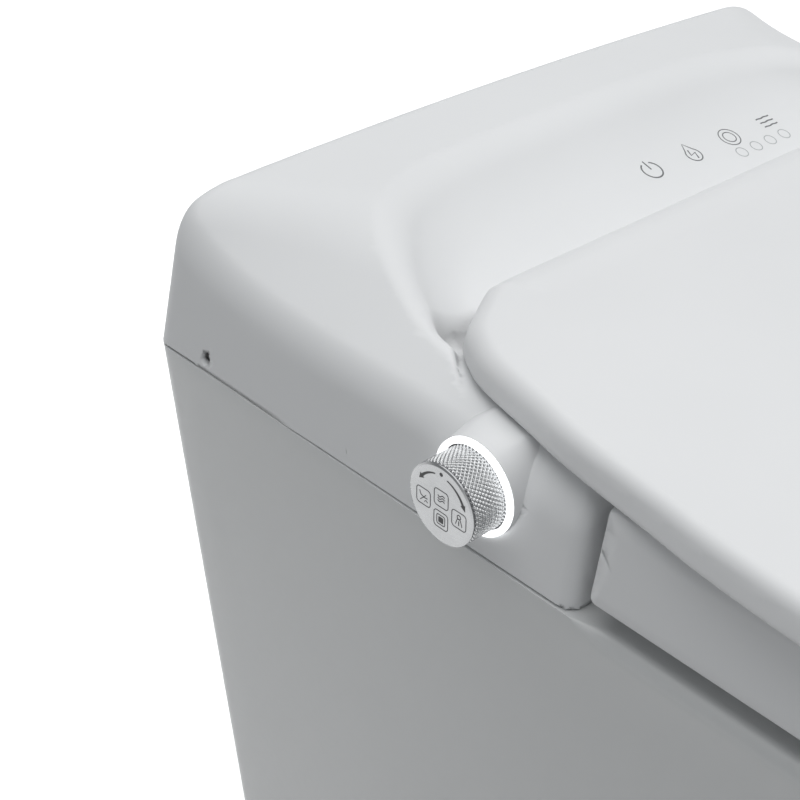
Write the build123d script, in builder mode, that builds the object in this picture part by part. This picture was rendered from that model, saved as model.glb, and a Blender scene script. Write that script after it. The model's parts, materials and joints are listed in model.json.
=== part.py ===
from build123d import *
import math
import os

# Electric bidet seat on its skirted ceramic body.
# Frame: Z = 0 is the floor, X = 0 the centre plane, +Y points at the wall behind.
# The origin is the centre of the waste outlet at floor level. Millimetres.

# ---- driving dimensions -------------------------------------------------------------------
rear_y = 295.0            # back of the ceramic and of the housing
front_y = -395.0          # tip of the lid
rim_tip_y = -388.0        # tip of the ceramic rim and of the seat skirt
bulge_y = -65.0           # where the straight sides turn into the round front
deck_z = 385.0            # part line between ceramic and seat unit
back_half = 200.0         # half width at the back corners
side_half = 198.5         # half width where the round front starts
back_corner = 20.0        # plan radius of the back corners
side_lean = 11.5          # inward lean of housing and skirt side walls, degrees
back_lean = 3.5           # forward lean of the housing's back
ear_lean = 5.0            # backward lean of the ears' front faces

foot_back_y = 291.0       # ceramic foot outline on the floor
foot_tip_y = -290.0
foot_half = 171.0
ceramic_wall = 11.0
rim_deck = 18.0           # thickness of the ceramic's top deck
bowl_y = -155.0           # centre of the bowl opening
bowl_half_x = 140.0
bowl_half_y = 188.0
spigot_r = 34.0           # inside radius of the waste outlet
spigot_wall = 9.0
anchor_x = 142.0          # floor anchor bolts
anchor_y = 60.0
anchor_r = 5.5
inlet_x = 150.0           # water inlet at -X and power gland at +X, through the deck
inlet_y = 240.0

hinge_y = rear_y - 144.0
hinge_z = deck_z + 40.0
hinge_pin_r = 3.0
running_fit = 0.05
knuckle_r = 7.0
roll_r = 18.0             # rolled back edge of the lid, round the hinge line
roll_half = 130.0
trough_r = 19.6           # housing trough the roll turns in
swing_r = 31.0            # room behind the hinge line for the lid's corners
swing_half = 182.0
trough_half = 163.5

lid_bottom = deck_z + 45.0
lid_top = deck_z + 58.0
lid_wall = 3.0
lid_half = 204.0          # widest half width of the lid
lid_edge_r = 8.5

ear_front_y = rear_y - 236.0
skirt_back_y = rear_y - 241.0
skirt_bottom = deck_z + 9.0
ring_top = deck_z + 42.0
neck_bottom = deck_z + 32.0
neck_half = 144.0
knuckle_half = 120.0
opening_y = -150.0        # centre of the seat opening
opening_half_x = 103.0
opening_half_y = 146.0

gasket = 0.6
cover_z = deck_z + gasket
housing_top = deck_z + 66.0
housing_wall = 3.0
bay_half = 150.0          # inner faces of the ears
bay_floor = deck_z + 30.0
scoop_slope = 18.0        # fall of the touch panel towards the lid, degrees
shoulder_top = housing_top + 0.5
shoulder_stations = ((rear_y + 10, 16), (rear_y - 18, 9), (rear_y - 60, 2), (0.0, 0))

knob_y = rear_y - 189.0
knob_z = deck_z + 25.0
knob_face_x = -212.0      # outer face of the knob
knob_r = 15.3
light_x = -198.0          # plane of the lit ring
light_r = 18.0
collar_root_x = -184.0     # inner end of the collar, inside the wall

base_top = deck_z + 5.0
screw_places = ((-186, 74), (186, 74), (-186, 196), (186, 196))
seat_bolt_x = 77.5        # seat fixing holes in the ceramic, 155 mm apart
seat_bolt_y = 140.0

wand_slope = 15.0         # fall of the spray wands, degrees
wand_r = 6.0
wand_x = 10.5
wand_length = 92.0
wand_tip = (32.0, deck_z - 6.0)   # Y and Z of the wand axis at the guide's mouth
roller_r = 5.0
roller_gap = 0.2
roller_s = 60.0           # distance of the drive rollers behind the mouth


def save(piece, name):
    piece.part.label = name
    export_step(piece.part, f"parts/{name}.step")
    print(f"{name:24s} solids {len(piece.part.solids()):2d}  volume {piece.part.volume / 1000:9.1f} cm3")


def body_outline(half_back, half_side, back_y, tip_y, corner):
    """Straight back and sides with a round front, drawn in the open sketch."""
    with BuildLine() as outline:
        Polyline(
            (half_side, bulge_y),
            (half_back, back_y),
            (-half_back, back_y),
            (-half_side, bulge_y),
        )
        EllipticalCenterArc((0, bulge_y), half_side, bulge_y - tip_y, 180, arc_size=180)
    make_face(outline.edges())
    back_points = [v for v in vertices() if v.Y > back_y - 1]
    fillet(back_points, radius=corner)


def lid_outline(inset=0.0):
    """Plan of the lid: narrow at the hinge, widest a little behind the middle."""
    back_y = hinge_y + roll_r - inset
    with BuildLine() as outline:
        for side in (1, -1):
            Spline(
                (side * (lid_half - inset), bulge_y),
                (side * (199.0 - inset), 13),
                (side * (185.5 - inset), 95),
                (side * (168.5 - 0.8 * inset), 139 - 0.5 * inset),
                (side * 128, back_y),
                tangents=[(0, 1), (-side, 0)],
            )
        Line((128, back_y), (-128, back_y))
        EllipticalCenterArc(
            (0, bulge_y), lid_half - inset, bulge_y - front_y - inset, 180, arc_size=180
        )
    make_face(outline.edges())


def seat_opening(grow, mode=Mode.SUBTRACT):
    with Locations((0, opening_y)):
        Ellipse(opening_half_x + grow, opening_half_y + grow, mode=mode)


def block(x0, x1, y0, y1, z0, z1, mode=Mode.ADD):
    """A box given by its low and high faces, in the open part."""
    with Locations(((x0 + x1) / 2, (y0 + y1) / 2, (z0 + z1) / 2)):
        Box(x1 - x0, y1 - y0, z1 - z0, mode=mode)


def rod_x(x0, x1, y, z, radius, mode=Mode.ADD):
    """A round bar along X between two faces."""
    with Locations(Location(((x0 + x1) / 2, y, z), (0, 90, 0))):
        Cylinder(radius, x1 - x0, mode=mode)


def rod_z(x, y, z0, z1, radius, mode=Mode.ADD):
    """A round bar along Z between two faces."""
    with Locations((x, y, (z0 + z1) / 2)):
        Cylinder(radius, z1 - z0, mode=mode)


os.makedirs("parts", exist_ok=True)

# ---- ceramic body ---------------------------------------------------------------------------
bowl_levels = [
    (deck_z, bowl_y, bowl_half_x, bowl_half_y),
    (deck_z - 80, bowl_y + 6, bowl_half_x - 10, bowl_half_y - 20),
    (deck_z - 170, bowl_y + 70, 88.0, 105.0),
    (deck_z - 225, bowl_y + 130, 50.0, 52.0),
]
sump_z = deck_z - 225


def bowl_form(grow):
    with BuildPart() as form:
        for z, y, half_x, half_y in bowl_levels:
            with BuildSketch(Plane.XY.offset(z - grow * 0.5)):
                with Locations((0, y)):
                    Ellipse(half_x + grow, half_y + grow)
        loft(ruled=True)
    return form.part


with BuildPart() as ceramic_body:
    with BuildSketch(Plane.XY):
        body_outline(foot_half, foot_half - 4, foot_back_y, foot_tip_y, back_corner)
    with BuildSketch(Plane.XY.offset(deck_z)):
        body_outline(back_half, side_half, rear_y, rim_tip_y, back_corner)
    loft(ruled=True)
    inner_corner = back_corner - ceramic_wall + 2
    with BuildSketch(Plane.XY.offset(-0.01)):
        body_outline(
            foot_half - ceramic_wall,
            foot_half - 4 - ceramic_wall,
            foot_back_y - ceramic_wall,
            foot_tip_y + ceramic_wall,
            inner_corner,
        )
    with BuildSketch(Plane.XY.offset(deck_z - rim_deck)):
        body_outline(
            back_half - ceramic_wall,
            side_half - ceramic_wall,
            rear_y - ceramic_wall,
            rim_tip_y + ceramic_wall,
            inner_corner,
        )
    loft(ruled=True, mode=Mode.SUBTRACT)
    add(bowl_form(ceramic_wall))
    rod_z(0, 0, 0, sump_z, spigot_r + spigot_wall)
    add(bowl_form(0), mode=Mode.SUBTRACT)
    rod_z(0, 0, 0, sump_z + 12, spigot_r, mode=Mode.SUBTRACT)
    block(-260, 260, -420, 320, deck_z, deck_z + 40, mode=Mode.SUBTRACT)
    block(-40, 40, bowl_y + 150, 118, deck_z - 16, deck_z + 5, mode=Mode.SUBTRACT)
    for side in (-1, 1):
        rod_z(side * seat_bolt_x, seat_bolt_y, deck_z - 40, deck_z + 5, 7, mode=Mode.SUBTRACT)
        block(side * anchor_x - 22, side * anchor_x + 22, anchor_y - 22, anchor_y + 22, 0, 12)
        rod_z(side * anchor_x, anchor_y, -5, 20, anchor_r, mode=Mode.SUBTRACT)
    rod_z(-inlet_x, inlet_y, deck_z - 40, deck_z + 5, 15, mode=Mode.SUBTRACT)
    rod_z(inlet_x, inlet_y, deck_z - 40, deck_z + 5, 9, mode=Mode.SUBTRACT)
save(ceramic_body, "ceramic_body")

with BuildPart() as outlet_seal:
    rod_z(0, 0, 0, 10, spigot_r + spigot_wall + 12)
    rod_z(0, 0, -1, 11, spigot_r + spigot_wall, mode=Mode.SUBTRACT)
save(outlet_seal, "outlet_seal")

# ---- housing ----------------------------------------------------------------------------------


def housing_form(inset):
    """The housing's outer shape, or with an inset the space inside its wall."""
    with BuildPart() as form:
        height = housing_top - cover_z - inset
        for z in (0, height):
            dx = inset + z * math.tan(math.radians(side_lean))
            dy = inset + z * math.tan(math.radians(back_lean))
            ear_y = ear_front_y + inset + z * math.tan(math.radians(ear_lean))
            with BuildSketch(Plane.XY.offset(cover_z + z)):
                with BuildLine() as plan:
                    Polyline(
                        (side_half - dx, ear_y),
                        (back_half - dx, rear_y - dy),
                        (-back_half + dx, rear_y - dy),
                        (-side_half + dx, ear_y),
                        close=True,
                    )
                make_face(plan.edges())
                fillet([v for v in vertices() if v.Y > 100], radius=back_corner - inset)
                fillet([v for v in vertices() if v.Y < 100], radius=8 - 0.6 * inset)
        loft(ruled=True)
        # shoulders: the top falls away towards each side wall, less so at the back corners
        for side in (-1, 1):
            with BuildPart(mode=Mode.PRIVATE) as cutter:
                for y, lift in shoulder_stations:
                    with BuildSketch(Plane.XZ.offset(-y)):
                        with BuildLine() as shoulder:
                            Polyline(
                                (side * 105, shoulder_top + lift - inset),
                                (side * 150, deck_z + 57.5 + lift - inset),
                                (side * 212, deck_z + 22 + lift - inset),
                                (side * 260, deck_z + 130),
                                (side * 105, deck_z + 130),
                                close=True,
                            )
                        make_face(shoulder.edges())
                loft(ruled=True)
            add(cutter.part, mode=Mode.SUBTRACT)
        # pocket for the lid, which lies just above the ears
        with BuildSketch(Plane.XY.offset(lid_bottom - 1.2 - inset)):
            lid_outline(-2.0 - inset)
        extrude(amount=60, mode=Mode.SUBTRACT)
        # bay between the ears for the seat ring, and the trough of the hinge line
        block(
            -bay_half - inset, bay_half + inset, 0, hinge_y,
            bay_floor - inset, deck_z + 100, mode=Mode.SUBTRACT,
        )
        rod_x(
            -trough_half - inset, trough_half + inset, hinge_y, hinge_z,
            trough_r + inset, mode=Mode.SUBTRACT,
        )
        with BuildPart(mode=Mode.PRIVATE) as swing:
            rod_x(-swing_half - inset, swing_half + inset, hinge_y, hinge_z, swing_r + inset)
            block(-260, 260, 0, 320, deck_z, hinge_z - 1 - inset, mode=Mode.SUBTRACT)
        add(swing.part, mode=Mode.SUBTRACT)
        # scooped touch panel, falling towards the lid
        slope = math.radians(scoop_slope)
        panel_plane = Plane(
            origin=(0, hinge_y + trough_r - 2, deck_z + 35 - inset),
            x_dir=(1, 0, 0),
            z_dir=(0, -math.sin(slope), math.cos(slope)),
        )
        with BuildSketch(panel_plane):
            with BuildLine() as panel:
                Polyline((134, -2), (134, 66), (-134, 66), (-134, -2), close=True)
            make_face(panel.edges())
            fillet([v for v in vertices() if v.Y > 0], radius=44)
        extrude(amount=55, taper=-52, mode=Mode.SUBTRACT)
    return form.part


outer_form = housing_form(0)
inner_form = housing_form(housing_wall)
with BuildPart() as rear_cover:
    add(outer_form)
    add(inner_form, mode=Mode.SUBTRACT)
    # knob hole, drain notch, nozzle mouth, dryer mouth
    rod_x(-230, -170, knob_y, knob_z, knob_r + 1.3, mode=Mode.SUBTRACT)
    rod_x(-230, light_x + 1.5, knob_y, knob_z, light_r + 0.02, mode=Mode.SUBTRACT)
    rod_x(-230, -180, rear_y - 31, cover_z + 2, 3, mode=Mode.SUBTRACT)
    for side in (-1, 1):
        x0, x1 = sorted((side * 131.5, side * 147.5))
        block(x0, x1, hinge_y - 12.5, hinge_y + 6, bay_floor - 14, hinge_z + 6, mode=Mode.SUBTRACT)
    block(-25, 25, ear_front_y - 5, ear_front_y + 12, cover_z - 1, deck_z + 12, mode=Mode.SUBTRACT)
    block(35, 65, ear_front_y - 5, ear_front_y + 12, deck_z + 4, deck_z + 18, mode=Mode.SUBTRACT)
save(rear_cover, "rear_cover")

with BuildPart() as base_plate:
    with BuildSketch(Plane.XY.offset(cover_z)):
        Polygon(
            (-193.5, ear_front_y + 9),
            (-189, ear_front_y + 4),
            (189, ear_front_y + 4),
            (193.5, ear_front_y + 9),
            (195.3, rear_y - 22),
            (178, rear_y - 4.2),
            (-178, rear_y - 4.2),
            (-195.3, rear_y - 22),
            align=None,
        )
    extrude(amount=base_top - cover_z)
    block(-27, 27, 0, 112, deck_z - 5, base_top + 5, mode=Mode.SUBTRACT)
    # hinge brackets beside the ears: a post in front of the line and a round eye on it
    for side in (-1, 1):
        x0, x1 = sorted((side * 133, side * 145))
        block(x0, x1, hinge_y - 11, hinge_y - 3, base_top - 1, hinge_z - 1)
        rod_x(x0, x1, hinge_y, hinge_z, hinge_pin_r + 1.6)
        block(x0, x1, hinge_y - 6, hinge_y - 2, hinge_z - 6, hinge_z + 2)
        rod_x(x0 - 1, x1 + 1, hinge_y, hinge_z, hinge_pin_r, mode=Mode.SUBTRACT)
        rod_z(side * seat_bolt_x, seat_bolt_y, deck_z - 5, base_top + 5, 4.2, mode=Mode.SUBTRACT)
    for x, y in screw_places:
        rod_z(x, y, deck_z, base_top + 5, 1.8, mode=Mode.SUBTRACT)
    rod_z(-inlet_x, inlet_y, deck_z - 5, base_top + 5, 10, mode=Mode.SUBTRACT)
    rod_z(inlet_x, inlet_y, deck_z - 5, base_top + 5, 7, mode=Mode.SUBTRACT)
save(base_plate, "base_plate")

with BuildPart() as deck_gasket:
    block(-188, 188, ear_front_y + 12, rear_y - 8, deck_z, cover_z)
    block(-170, 170, ear_front_y + 30, rear_y - 26, deck_z - 1, cover_z + 1, mode=Mode.SUBTRACT)
    block(-44, 44, 0, 110, deck_z - 1, cover_z + 1, mode=Mode.SUBTRACT)
save(deck_gasket, "deck_gasket")

with BuildPart() as seat_mount_bolts:
    for side in (-1, 1):
        rod_z(side * seat_bolt_x, seat_bolt_y, deck_z - 36, base_top + 1, 4)
        rod_z(side * seat_bolt_x, seat_bolt_y, base_top, base_top + 4, 8)
        rod_z(side * seat_bolt_x, seat_bolt_y, deck_z - 28, deck_z - rim_deck, 11)
save(seat_mount_bolts, "seat_mount_bolts")

# ---- hinge pins and soft-close dampers -----------------------------------------------------------
for side, name in ((-1, "hinge_pin_left"), (1, "hinge_pin_right")):
    with BuildPart() as hinge_pin:
        x0, x1 = sorted((side * 92, side * 147))
        rod_x(x0, x1, hinge_y, hinge_z, hinge_pin_r)
    save(hinge_pin, name)
for side, name in ((-1, "seat_damper"), (1, "lid_damper")):
    with BuildPart() as damper:
        x0, x1 = sorted((side * 40, side * 92))
        rod_x(x0, x1, hinge_y, hinge_z, 6.0)
    save(damper, name)

# ---- seat ring -----------------------------------------------------------------------------------


def skirt_form(inset, bottom, top):
    """The ring's outer body in front of the ears, or its inside with an inset."""
    with BuildPart() as form:
        with BuildSketch(Plane.XY.offset(bottom)):
            body_outline(
                side_half - inset, side_half - inset, skirt_back_y + 60,
                rim_tip_y + inset, back_corner + 10,
            )
        extrude(amount=top - bottom, taper=side_lean - 1)
        block(-260, 260, skirt_back_y - inset, 320, deck_z, deck_z + 80, mode=Mode.SUBTRACT)
    return form.part


with BuildPart() as seat_ring_upper:
    add(skirt_form(0, skirt_bottom, ring_top))
    back_corners = [e for e in edges() if abs((e % 0.5).Z) > 0.8 and (e @ 0.5).Y > skirt_back_y - 2]
    fillet(back_corners, radius=4)
    add(skirt_form(3.5, skirt_bottom, ring_top - 3.5), mode=Mode.SUBTRACT)
    with BuildSketch(Plane.XY.offset(skirt_bottom + 3)):
        seat_opening(8, mode=Mode.ADD)
    extrude(amount=ring_top - skirt_bottom - 3)
    block(-neck_half, neck_half, skirt_back_y - 10, hinge_y - 20, neck_bottom, ring_top)
    block(-knuckle_half, knuckle_half, hinge_y - 21, hinge_y - 1, neck_bottom, ring_top)
    for side in (-1, 1):
        x0, x1 = sorted((side * 96, side * knuckle_half))
        rod_x(x0, x1, hinge_y, hinge_z, knuckle_r)
    block(-95.5, 95.5, hinge_y - 9, hinge_y + 9, deck_z, deck_z + 80, mode=Mode.SUBTRACT)
    for side in (-1, 1):
        x0, x1 = sorted((side * 95, side * 121))
        rod_x(x0, x1, hinge_y, hinge_z, hinge_pin_r + running_fit, mode=Mode.SUBTRACT)
    with BuildSketch(Plane.XY.offset(deck_z)):
        seat_opening(0, mode=Mode.ADD)
    extrude(amount=80, mode=Mode.SUBTRACT)
save(seat_ring_upper, "seat_ring_upper")

with BuildPart() as seat_ring_lower:
    with BuildSketch(Plane.XY.offset(skirt_bottom + 0.4)):
        body_outline(side_half - 4.2, side_half - 4.2, skirt_back_y + 60, rim_tip_y + 4.2, back_corner)
        seat_opening(2)
    extrude(amount=2.4)
    block(-260, 260, skirt_back_y - 4.2, 320, deck_z, deck_z + 80, mode=Mode.SUBTRACT)
save(seat_ring_lower, "seat_ring_lower")

with BuildPart() as seat_heater:
    with BuildSketch(Plane.XY.offset(ring_top - 4.6)):
        body_outline(side_half - 22, side_half - 22, skirt_back_y + 60, rim_tip_y + 22, 20)
        seat_opening(14)
    extrude(amount=0.8)
    block(-260, 260, skirt_back_y - 16, 320, deck_z, deck_z + 80, mode=Mode.SUBTRACT)
save(seat_heater, "seat_heater")

with BuildPart() as seat_bumpers:
    for x, y in ((-150, 20), (150, 20), (-120, -270), (120, -270)):
        rod_z(x, y, deck_z + 0.3, skirt_bottom + 0.4, 9)
save(seat_bumpers, "seat_bumpers")

# ---- lid ---------------------------------------------------------------------------------------------
with BuildPart() as lid_outer:
    with BuildSketch(Plane.XY.offset(lid_bottom)):
        lid_outline()
    extrude(amount=lid_top - lid_bottom)
    lid_rim = lid_outer.faces().sort_by(Axis.Z)[-1].outer_wire().edges()
    fillet(lid_rim, radius=lid_edge_r)
    with BuildPart(mode=Mode.PRIVATE) as behind:
        block(-260, 260, hinge_y, 320, deck_z, deck_z + 80)
        rod_x(-270, 270, hinge_y, hinge_z, roll_r, mode=Mode.SUBTRACT)
    add(behind.part, mode=Mode.SUBTRACT)
    rod_x(-roll_half, roll_half, hinge_y, hinge_z, roll_r)
    inner_half = roll_half - 6
    rod_x(-inner_half, inner_half, hinge_y, hinge_z, roll_r - lid_wall, mode=Mode.SUBTRACT)
    block(-260, 260, 0, hinge_y - 8, deck_z, lid_bottom, mode=Mode.SUBTRACT)
    block(-260, 260, 0, 200, deck_z, hinge_z - 6, mode=Mode.SUBTRACT)
    with BuildSketch(Plane.XY.offset(lid_bottom)):
        lid_outline(lid_wall + 4)
    extrude(amount=lid_top - lid_bottom - lid_wall, mode=Mode.SUBTRACT)
    for side in (-1, 1):
        x0, x1 = sorted((side * inner_half, side * roll_half))
        rod_x(x0, x1, hinge_y, hinge_z, 8)
        rod_x(x0, x1, hinge_y, hinge_z, hinge_pin_r + running_fit, mode=Mode.SUBTRACT)
save(lid_outer, "lid_outer")

with BuildPart() as lid_inner:
    with BuildSketch(Plane.XY.offset(lid_bottom)):
        lid_outline(lid_wall + 4)
    extrude(amount=2.5)
    block(-260, 260, hinge_y - 12, 320, deck_z, deck_z + 80, mode=Mode.SUBTRACT)
save(lid_inner, "lid_inner")

with BuildPart() as lid_bumpers:
    for x, y in ((-130, -250), (130, -250), (-150, 0), (150, 0)):
        rod_z(x, y, ring_top + 0.3, lid_bottom, 7)
save(lid_bumpers, "lid_bumpers")

# ---- side knob -----------------------------------------------------------------------------------------
with BuildPart() as knob_collar:
    with BuildSketch(Plane.YZ.offset(light_x + 1.5)):
        with Locations((knob_y, knob_z)):
            Circle(light_r)
    with BuildSketch(Plane.YZ.offset(collar_root_x)):
        with Locations((knob_y, knob_z)):
            Circle(light_r + 2.2)
    loft()
    add(outer_form, mode=Mode.SUBTRACT)
    rod_x(light_x + 1.5, collar_root_x, knob_y, knob_z, knob_r + 1.2)
    rod_x(-200, -170, knob_y, knob_z, knob_r + 0.5, mode=Mode.SUBTRACT)
    block(-230, -170, 0, rear_y, lid_bottom - 1.5, deck_z + 60, mode=Mode.SUBTRACT)
save(knob_collar, "knob_collar")

with BuildPart() as knob_light_ring:
    rod_x(light_x, light_x + 1.5, knob_y, knob_z, light_r)
    rod_x(light_x - 1, light_x + 3, knob_y, knob_z, knob_r + 0.5, mode=Mode.SUBTRACT)
save(knob_light_ring, "knob_light_ring")

with BuildPart() as knob_encoder:
    block(-182, -172, knob_y - 8, knob_y + 8, knob_z - 8, knob_z + 8)
    rod_x(-184, -170, knob_y, knob_z, 3 + running_fit, mode=Mode.SUBTRACT)
    block(-179, -175, knob_y - 14, knob_y + 14, base_top, knob_z - 8)
save(knob_encoder, "knob_encoder")

with BuildPart() as knob_plunger:
    rod_x(-209, -170, knob_y, knob_z, 3)
    rod_x(-189.5, -188, knob_y, knob_z, 6)
save(knob_plunger, "knob_plunger")

with BuildPart() as knob_sleeve:
    rod_x(knob_face_x + 2, -193, knob_y, knob_z, knob_r)
    rod_x(-206, -192, knob_y, knob_z, knob_r - 2.5, mode=Mode.SUBTRACT)
    rod_x(-207, -190.5, knob_y, knob_z, 5.5)
    rod_x(-209, -180, knob_y, knob_z, 3 + running_fit, mode=Mode.SUBTRACT)
save(knob_sleeve, "knob_sleeve")

with BuildPart() as knob_face:
    rod_x(knob_face_x, knob_face_x + 2, knob_y, knob_z, knob_r - 0.4)
    front_face = knob_face.faces().sort_by(Axis.X)[0]
    chamfer(front_face.edges(), length=0.7)
save(knob_face, "knob_face")

# ---- spray nozzles ---------------------------------------------------------------------------------------
wand_angle = math.radians(wand_slope)
wand_plane = Plane(
    origin=(0, wand_tip[0], wand_tip[1]),
    x_dir=(1, 0, 0),
    z_dir=(0, math.cos(wand_angle), math.sin(wand_angle)),
)
# Local X is the row's X, local Z runs back along the wands, local Y points down and back.


def wand_frame(x, y, s):
    """A plane square to the wands at a place in the wands' own frame."""
    return Plane(
        origin=wand_plane.from_local_coords((x, y, s)),
        x_dir=wand_plane.x_dir,
        z_dir=wand_plane.z_dir,
    )


up = -1 if wand_plane.y_dir.Z < 0 else 1
roller_x = wand_x + wand_r + roller_gap + roller_r
with BuildPart() as nozzle_guide:
    with BuildSketch(wand_frame(0, 0, 0)):
        Rectangle(44, 16.4)
        with Locations((-wand_x, 0), (wand_x, 0)):
            Circle(wand_r + 0.08, mode=Mode.SUBTRACT)
    extrude(amount=86)
    for side in (-1, 1):
        roller_plane = Plane(
            origin=wand_plane.from_local_coords((side * roller_x, 0, roller_s)),
            x_dir=(1, 0, 0),
            z_dir=wand_plane.y_dir * up,
        )
        with BuildSketch(roller_plane.offset(-3)):
            Circle(roller_r + 0.5)
        extrude(amount=20, mode=Mode.SUBTRACT)
save(nozzle_guide, "nozzle_guide")

for side, wash in ((-1, "rear_wash"), (1, "front_wash")):
    with BuildPart() as nozzle:
        with BuildSketch(wand_frame(side * wand_x, 0, 0.5)):
            Circle(wand_r)
        extrude(amount=wand_length)
        fillet(nozzle.edges().sort_by(Axis.Y)[0], radius=2.5)
        with BuildSketch(Plane(
            origin=wand_plane.from_local_coords((side * wand_x, 0, 9)),
            x_dir=(1, 0, 0),
            z_dir=wand_plane.y_dir * up,
        )):
            with GridLocations(2.2, 2.2, 2, 2):
                Circle(0.5)
        extrude(amount=wand_r + 1, mode=Mode.SUBTRACT)
    save(nozzle, f"{wash}_nozzle")
    roller_plane = Plane(
        origin=wand_plane.from_local_coords((side * roller_x, 0, roller_s)),
        x_dir=(1, 0, 0),
        z_dir=wand_plane.y_dir * up,
    )
    with BuildPart() as roller:
        with BuildSketch(roller_plane.offset(-2.5)):
            Circle(roller_r)
        extrude(amount=5)
        with BuildSketch(roller_plane.offset(2.4)):
            Circle(1.5)
        extrude(amount=6.3)
    save(roller, f"{wash}_roller")
    with BuildPart() as motor:
        with BuildSketch(roller_plane.offset(8.9)):
            Circle(9.5)
        extrude(amount=7)
    save(motor, f"{wash}_motor")

# ---- water path ---------------------------------------------------------------------------------------------
with BuildPart() as water_inlet:
    rod_z(-inlet_x, inlet_y, deck_z - 34, base_top + 6, 9.8)
    rod_z(-inlet_x, inlet_y, base_top, base_top + 3, 14)
    rod_z(-inlet_x, inlet_y, deck_z - 35, base_top + 7, 5, mode=Mode.SUBTRACT)
save(water_inlet, "water_inlet")

with BuildPart() as inlet_valve:
    block(-176, -128, 206, 262, base_top + 6, base_top + 24)
    rod_z(-152, 222, base_top + 24, base_top + 33, 9)
save(inlet_valve, "inlet_valve")

with BuildPart() as water_heater:
    block(-58, 58, 192, 244, base_top, base_top + 27)
    fillet(water_heater.edges().filter_by(Axis.Z), radius=6)
save(water_heater, "water_heater")

with BuildPart() as water_pump:
    rod_x(-40, 10, 262, base_top + 14, 13)
    rod_x(10, 40, 262, base_top + 14, 9)
save(water_pump, "water_pump")


def hose(points, radius, name):
    with BuildPart() as tube:
        with BuildLine() as route:
            FilletPolyline(*points, radius=12)
        with BuildSketch(Plane(origin=route.line @ 0, z_dir=route.line % 0)):
            Circle(radius)
        sweep()
    save(tube, name)


hose([(-128, 234, 402), (-100, 234, 402), (-100, 262, 402), (-40, 262, 402)], 4, "supply_hose")
with BuildPart() as wash_hose:
    with BuildSketch(Plane.XZ.offset(-192)):
        with Locations((0, base_top + 7)):
            Circle(3.5)
    extrude(amount=192 - 117.5)
save(wash_hose, "wash_hose")

# ---- warm-air dryer ----------------------------------------------------------------------------------------
fan_x = 104.0
fan_y = 228.0
flap_y = ear_front_y + 9
flap_z = base_top + 9.5
with BuildPart() as dryer_casing:
    rod_z(fan_x, fan_y, base_top, base_top + 27, 27)
    rod_z(fan_x, fan_y, base_top + 2, base_top + 25, 25, mode=Mode.SUBTRACT)
    rod_z(fan_x, fan_y, base_top + 20, base_top + 30, 12, mode=Mode.SUBTRACT)
    block(78, 104, 190, 214, base_top, base_top + 14)
    block(80, 102, 180, 212, base_top + 2, base_top + 12, mode=Mode.SUBTRACT)
    rod_z(fan_x, fan_y, base_top + 2, base_top + 25, 25, mode=Mode.SUBTRACT)
save(dryer_casing, "dryer_casing")

with BuildPart() as dryer_motor:
    rod_z(fan_x, fan_y, base_top + 2, base_top + 9, 11)
    rod_z(fan_x, fan_y, base_top + 8, base_top + 20, 2)
save(dryer_motor, "dryer_motor")

with BuildPart() as dryer_wheel:
    rod_z(fan_x, fan_y, base_top + 10, base_top + 12, 21)
    rod_z(fan_x, fan_y, base_top + 11, base_top + 19, 5)
    for blade in range(18):
        angle = math.radians(blade * 20)
        with Locations(Location(
            (fan_x + 18 * math.cos(angle), fan_y + 18 * math.sin(angle), base_top + 15.4),
            (0, 0, blade * 20 + 40),
        )):
            Box(6, 0.9, 7)
    rod_z(fan_x, fan_y, base_top + 5, base_top + 30, 2 + running_fit, mode=Mode.SUBTRACT)
save(dryer_wheel, "dryer_wheel")

with BuildPart() as dryer_duct:
    block(36, 64, ear_front_y + 4.5, 178, base_top, base_top + 12)
    block(36, 104, 166, 190, base_top, base_top + 12)
    block(37.5, 62.5, 0, 176.5, base_top + 1.5, base_top + 10.5, mode=Mode.SUBTRACT)
    block(37.5, 102.5, 167.5, 188.5, base_top + 1.5, base_top + 10.5, mode=Mode.SUBTRACT)
    block(80, 102, 180, 191, base_top + 2, base_top + 10.5, mode=Mode.SUBTRACT)
save(dryer_duct, "dryer_duct")

with BuildPart() as dryer_element:
    for row in range(4):
        rod_x(38, 62, 110 + row * 8, base_top + 6, 1.2)
save(dryer_element, "dryer_element")

with BuildPart() as dryer_flap:
    block(37.9, 62.1, flap_y - 0.6, flap_y + 0.6, base_top + 1.8, flap_z)
    rod_x(37.9, 62.1, flap_y, flap_z, 0.9)
save(dryer_flap, "dryer_flap")

# ---- deodoriser ------------------------------------------------------------
with BuildPart() as deodoriser_casing:
    block(-122, -70, 166, 192, base_top, base_top + 14)
    block(-120.5, -71.5, 167.5, 193, base_top + 1.5, base_top + 12.5, mode=Mode.SUBTRACT)
save(deodoriser_casing, "deodoriser_casing")
with BuildPart() as deodoriser_filter:
    block(-120, -94, 168, 191, base_top + 1.5, base_top + 12.5)
save(deodoriser_filter, "deodoriser_filter")
with BuildPart() as deodoriser_fan:
    rod_z(-82, 180, base_top + 3, base_top + 11, 4)
    for blade in range(7):
        with Locations(Location((-82, 180, base_top + 7), (0, 0, blade * 360 / 7))):
            Box(18, 1, 7)
save(deodoriser_fan, "deodoriser_fan")

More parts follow.
